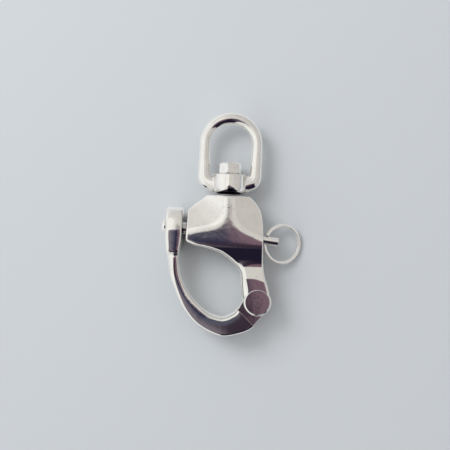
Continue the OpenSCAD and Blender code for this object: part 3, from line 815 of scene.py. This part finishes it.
finish_piece(make_body(), "body", ["body"], cast)
finish_piece(make_hinge_pin(), "body", ["hinge_pin"], turned)
finish_piece(make_bolt(), "body", ["swivel_bolt"], turned)
finish_piece(make_lock_pin(), "body", ["swivel_lock_pin"], turned)
spring = finish_piece(make_spring(), "body", ["plunger_spring"], spring_mat)
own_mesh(spring)
finish_piece(make_jaw(), "jaw", ["jaw"], cast)
finish_piece(make_plunger(), "plunger", ["plunger"], turned)
finish_piece(make_ring(), "pull_ring", ["split_ring"], ring_mat)
finish_piece(make_bail(), "bail", ["bail"], bail_mat)


# ---------------------------------------------------------------- stage, light and camera

FLOOR_HALF = 2.0
FLOOR_SEEN, FLOOR_MIRRORED = (0.60, 0.635, 0.67), (0.92, 0.95, 0.98)


def make_floor():
    me = bpy.data.meshes.new("floor")
    s = FLOOR_HALF
    me.from_pydata([(-s, -s, 0), (s, -s, 0), (s, s, 0), (-s, s, 0)], [], [(0, 1, 2, 3)])
    ob = bpy.data.objects.new("floor", me)
    bpy.context.scene.collection.objects.link(ob)
    mat, nt, sh = new_material("pale_floor")
    # the steel mirrors a whiter floor than the camera sees, so that its edges stay bright
    path = node(nt, "ShaderNodeLightPath")
    tone = mix_colour(nt, path.outputs["Is Glossy Ray"], FLOOR_SEEN, FLOOR_MIRRORED)
    link(nt, tone, sh.inputs["Base Color"])
    sh.inputs["Roughness"].default_value = 0.6
    sh.inputs["Specular IOR Level"].default_value = 0.2
    me.materials.append(mat)


make_floor()


# The world goes by direction: east is +X, north +Y and up +Z, and down is along the card's
# heading, past the shackle's lower end. Limits are parts of a unit vector. Places and tones were
# set by comparing the main render with the reflections in the photo.
CARD_HEADING, CARD_NEAR_HEADING = -70, -80
CARD_NEAR, CARD_FAR = (-0.02, 0.006), (0.985, 0.95)
CARD_SPREAD, CARD_HALF, CARD_HALF_EAST = 0.62, 0.2, 0.09
CARD_FAR_SPREAD, CARD_FAR_HALF = 0.16, 0.3
CARD_SOFT = 0.03
BROWN, BLACK, UMBER = (0.23, 0.145, 0.185), (0.016, 0.013, 0.03), (0.05, 0.034, 0.055)
BLUE, SLATE, MAUVE = (0.034, 0.036, 0.08), (0.105, 0.11, 0.16), (0.235, 0.205, 0.245)
OVER_WEST, OVER_EAST, OVER_SPOT = (1.16, 1.16, 1.13), (0.80, 0.785, 0.75), (0.56, 0.53, 0.52)
MID_WEST, MID_PALE, MID_EAST = (1.15, 1.15, 1.13), (0.90, 0.89, 0.865), (0.70, 0.675, 0.65)
LOW_WEST, LOW_EAST = (1.08, 1.10, 1.12), (0.56, 0.58, 0.61)
SPOT_EAST, SPOT_NORTH, SPOT_SHIFT = 45.0, 26.0, -0.6
SEEN_GREY = (0.9, 0.9, 0.9, 1)


def make_world():
    """Uneven and mostly pale, with a dark card; the camera sees a plain grey in its place."""
    w = bpy.data.worlds.new("studio")
    bpy.context.scene.world = w
    w.use_nodes = True
    nt = w.node_tree
    nt.nodes.clear()
    coord = node(nt, "ShaderNodeTexCoord")

    def dot(x, y, z):
        n = node(nt, "ShaderNodeVectorMath", operation="DOT_PRODUCT")
        n.inputs[1].default_value = (x, y, z)
        link(nt, coord.outputs["Generated"], n.inputs[0])
        return n.outputs["Value"]

    def towards(heading):
        return dot(cosd(heading), sind(heading), 0)

    def calc(operation, a, b=0.0, c=0.0):
        return math_node(nt, operation, a, b, c)

    def blend(value, lo, hi, a, b):
        """Colour a where value is at lo, and b where it is at hi."""
        return mix_colour(nt, smooth_range(nt, value, lo, hi), a, b)

    down, side = towards(CARD_HEADING), towards(CARD_HEADING + 90)
    east, north, up = dot(1, 0, 0), dot(0, 1, 0), dot(0, 0, 1)

    reach = calc("MAXIMUM", down)
    half = calc("MINIMUM", calc("MULTIPLY_ADD", reach, CARD_SPREAD, CARD_HALF),
                calc("MULTIPLY_ADD", reach, CARD_FAR_SPREAD, CARD_FAR_HALF))
    half_east = calc("MULTIPLY_ADD", reach, CARD_SPREAD, CARD_HALF_EAST)
    past = calc("MAXIMUM", calc("SUBTRACT", calc("ABSOLUTE", side), half),
                calc("SUBTRACT", side, half_east))
    inside = smooth_range(nt, past, CARD_SOFT, -CARD_SOFT)
    card = calc("MULTIPLY", inside, smooth_range(nt, towards(CARD_NEAR_HEADING), *CARD_NEAR))
    card = calc("MULTIPLY", card, smooth_range(nt, down, *CARD_FAR))

    # tones across and down the card
    dark = blend(side, -0.075, -0.045, SLATE, BLUE)
    dark = blend(down, 0.05, 0.11, dark, UMBER)
    dark = blend(side, -0.16, -0.075, MAUVE, dark)
    dark = blend(side, -0.012, 0.02, dark, BROWN)
    dark = blend(down, 0.13, 0.55, dark, BLACK)

    # the pale part: overhead, half way down and low, each from west to east
    spot = calc("ADD", calc("POWER", calc("MULTIPLY", east, SPOT_EAST), 2.0),
                calc("POWER", calc("MULTIPLY_ADD", north, SPOT_NORTH, SPOT_SHIFT), 2.0))
    over = blend(spot, 0.2, 1.2, OVER_SPOT, blend(east, -0.12, 0.0, OVER_WEST, OVER_EAST))
    middle = blend(east, -0.62, -0.4, MID_WEST, blend(east, -0.35, 0.35, MID_PALE, MID_EAST))
    low = blend(east, -0.5, 0.3, LOW_WEST, LOW_EAST)
    pale = blend(up, 0.1, 0.45, low, blend(up, 0.8, 0.97, middle, over))

    mirrored, seen = node(nt, "ShaderNodeBackground"), node(nt, "ShaderNodeBackground")
    link(nt, mix_colour(nt, card, pale, dark), mirrored.inputs["Color"])
    seen.inputs["Color"].default_value = SEEN_GREY
    path, pick = node(nt, "ShaderNodeLightPath"), node(nt, "ShaderNodeMixShader")
    link(nt, path.outputs["Is Camera Ray"], pick.inputs[0])
    link(nt, mirrored.outputs[0], pick.inputs[1])
    link(nt, seen.outputs[0], pick.inputs[2])
    link(nt, pick.outputs[0], node(nt, "ShaderNodeOutputWorld").inputs[0])


make_world()


def area_light(name, place, look, size, watts):
    data = bpy.data.lights.new(name, "AREA")
    data.shape = "DISK"
    data.size = size
    data.energy = watts
    ob = bpy.data.objects.new(name, data)
    bpy.context.scene.collection.objects.link(ob)
    ob.location = place
    ob.rotation_mode = "QUATERNION"
    ob.rotation_quaternion = (Vector(look) - Vector(place)).to_track_quat("-Z", "Y")
    return ob


key = area_light("key", place=(-0.55, 0.45, 0.62), look=(0, 0, 0), size=0.5, watts=4.0)
key.visible_glossy = False


CAMERA_TURN, CAMERA_HEIGHT, CAMERA_ABOVE = 2.5, 0.300, (-0.00102, 0.0037)
VIEW_WIDTH, SENSOR = 0.1755, 36


def make_camera():
    """Straight above, at the photo's angle and framing; lengths in metres, the sensor in mm."""
    data = bpy.data.cameras.new("camera")
    ob = bpy.data.objects.new("camera", data)
    bpy.context.scene.collection.objects.link(ob)
    data.sensor_width = SENSOR
    data.lens = SENSOR * CAMERA_HEIGHT / VIEW_WIDTH
    ob.location = (*CAMERA_ABOVE, MID * MM + CAMERA_HEIGHT)
    ob.rotation_euler = (0, 0, math.radians(CAMERA_TURN))
    data.clip_start = 0.01
    data.clip_end = 10
    bpy.context.scene.camera = ob


make_camera()
bpy.context.scene.view_settings.view_transform = "Standard"
